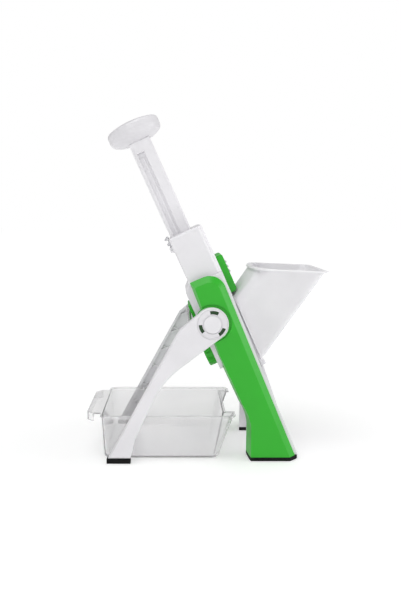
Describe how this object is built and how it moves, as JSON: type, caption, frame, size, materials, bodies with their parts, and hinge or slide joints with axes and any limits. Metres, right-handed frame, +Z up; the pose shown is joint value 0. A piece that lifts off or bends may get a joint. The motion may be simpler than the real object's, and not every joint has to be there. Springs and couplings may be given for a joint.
{
  "type": "mandoline slicer",
  "caption": "Hand-press mandoline slicer with a leaning spring-returned plunger, folding stand, thickness dial, cut selector, side hopper and a clear catch container.",
  "frame": {"origin": "middle of the machine's bounding box, on the table that it stands on", "axes": "+X towards the hopper, +Y across the machine (mirror plane Y = 0), +Z up"},
  "size_m": [0.269, 0.135, 0.384],
  "materials": {
    "white_plastic": "satin moulded plastic",
    "green_plastic": "satin moulded plastic",
    "clear_plastic": "clear moulded plastic",
    "black_rubber": "matt rubber",
    "steel": "brushed",
    "grey_plastic": "smoky translucent plastic"
  },
  "bodies": {
    "frame": {"near_leg_cover": "green_plastic", "far_leg_cover": "green_plastic", "near_leg_frame": "white_plastic", "far_leg_frame": "white_plastic", "near_leg_sole": "black_rubber", "far_leg_sole": "black_rubber", "near_pivot_boss": "green_plastic", "far_pivot_boss": "green_plastic", "near_hub_cap": "white_plastic", "far_hub_cap": "white_plastic", "tower_front_shell": "white_plastic", "tower_rear_shell": "white_plastic", "tower_cap": "white_plastic", "dial_housing": "white_plastic", "rear_brace": "white_plastic", "near_guide_rod": "steel", "far_guide_rod": "steel", "near_return_spring": "steel", "far_return_spring": "steel", "dial_plate": "green_plastic", "selector_track": "green_plastic", "lock_pin": "steel", "cover_screws": "steel", "pivot_screws": "steel", "shell_screws": "steel"},
    "press": {"press_shaft": "white_plastic", "near_shaft_rib": "white_plastic", "far_shaft_rib": "white_plastic", "knob_top": "white_plastic", "knob_base": "white_plastic", "knob_screw": "steel", "blade_carriage": "white_plastic", "main_blade": "steel", "blade_screws": "steel"},
    "comb": {"julienne_comb": "steel"},
    "selector": {"selector_button": "white_plastic"},
    "dial": {"thickness_dial": "green_plastic", "dial_screw": "steel"},
    "plate": {"thickness_plate": "white_plastic"},
    "stand": {"near_stand_arm": "white_plastic", "far_stand_arm": "white_plastic", "near_stand_sole": "black_rubber", "far_stand_sole": "black_rubber", "stand_tie_bar": "steel"},
    "lock": {"handle_lock": "grey_plastic"},
    "feed_hopper": {"hopper": "white_plastic"},
    "bin": {"container": "clear_plastic"}
  },
  "joints": [
    {"name": "press_slide", "type": "slide", "parent": "frame", "child": "press", "axis": [0.4131, 0, -0.9107], "range_m": [0, 0.09], "stiffness_N_per_m": 120, "springref_m": -0.06, "deforming": ["near_return_spring", "far_return_spring"]},
    {"name": "selector_slide", "type": "slide", "parent": "frame", "child": "selector", "axis": [0.4131, 0, -0.9107], "range_m": [0, 0.008]},
    {"name": "comb_slide", "type": "slide", "parent": "press", "child": "comb", "axis": [0.4131, 0, -0.9107], "range_m": [0, 0.008]},
    {"name": "dial_turn", "type": "hinge", "parent": "frame", "child": "dial", "pos_m": [0.01987, 0, 0.12322], "axis": [0.9107, 0, 0.4131], "range_deg": [0, 320]},
    {"name": "plate_slide", "type": "slide", "parent": "frame", "child": "plate", "axis": [0.9107, 0, 0.4131], "range_m": [0, 0.0074]},
    {"name": "stand_fold", "type": "hinge", "parent": "frame", "child": "stand", "pos_m": [0.005, 0, 0.156], "axis": [0, -1, 0], "range_deg": [0, 50]},
    {"name": "lock_tilt", "type": "hinge", "parent": "frame", "child": "lock", "pos_m": [-0.039, 0, 0.23267], "axis": [0, -1, 0], "range_deg": [0, 20]},
    {"name": "hopper_off", "type": "slide", "parent": "frame", "child": "feed_hopper", "axis": [0.9107, 0, 0.4131], "range_m": [0, 0.06]},
    {"name": "bin_slide", "type": "slide", "parent": "frame", "child": "bin", "axis": [-1, 0, 0], "range_m": [0, 0.16]}
  ],
  "couplings": [
    {"joint": "comb_slide", "follows": "selector_slide", "ratio": 1},
    {"joint": "dial_turn", "follows": "plate_slide", "rad_per_m": 754.7}
  ]
}
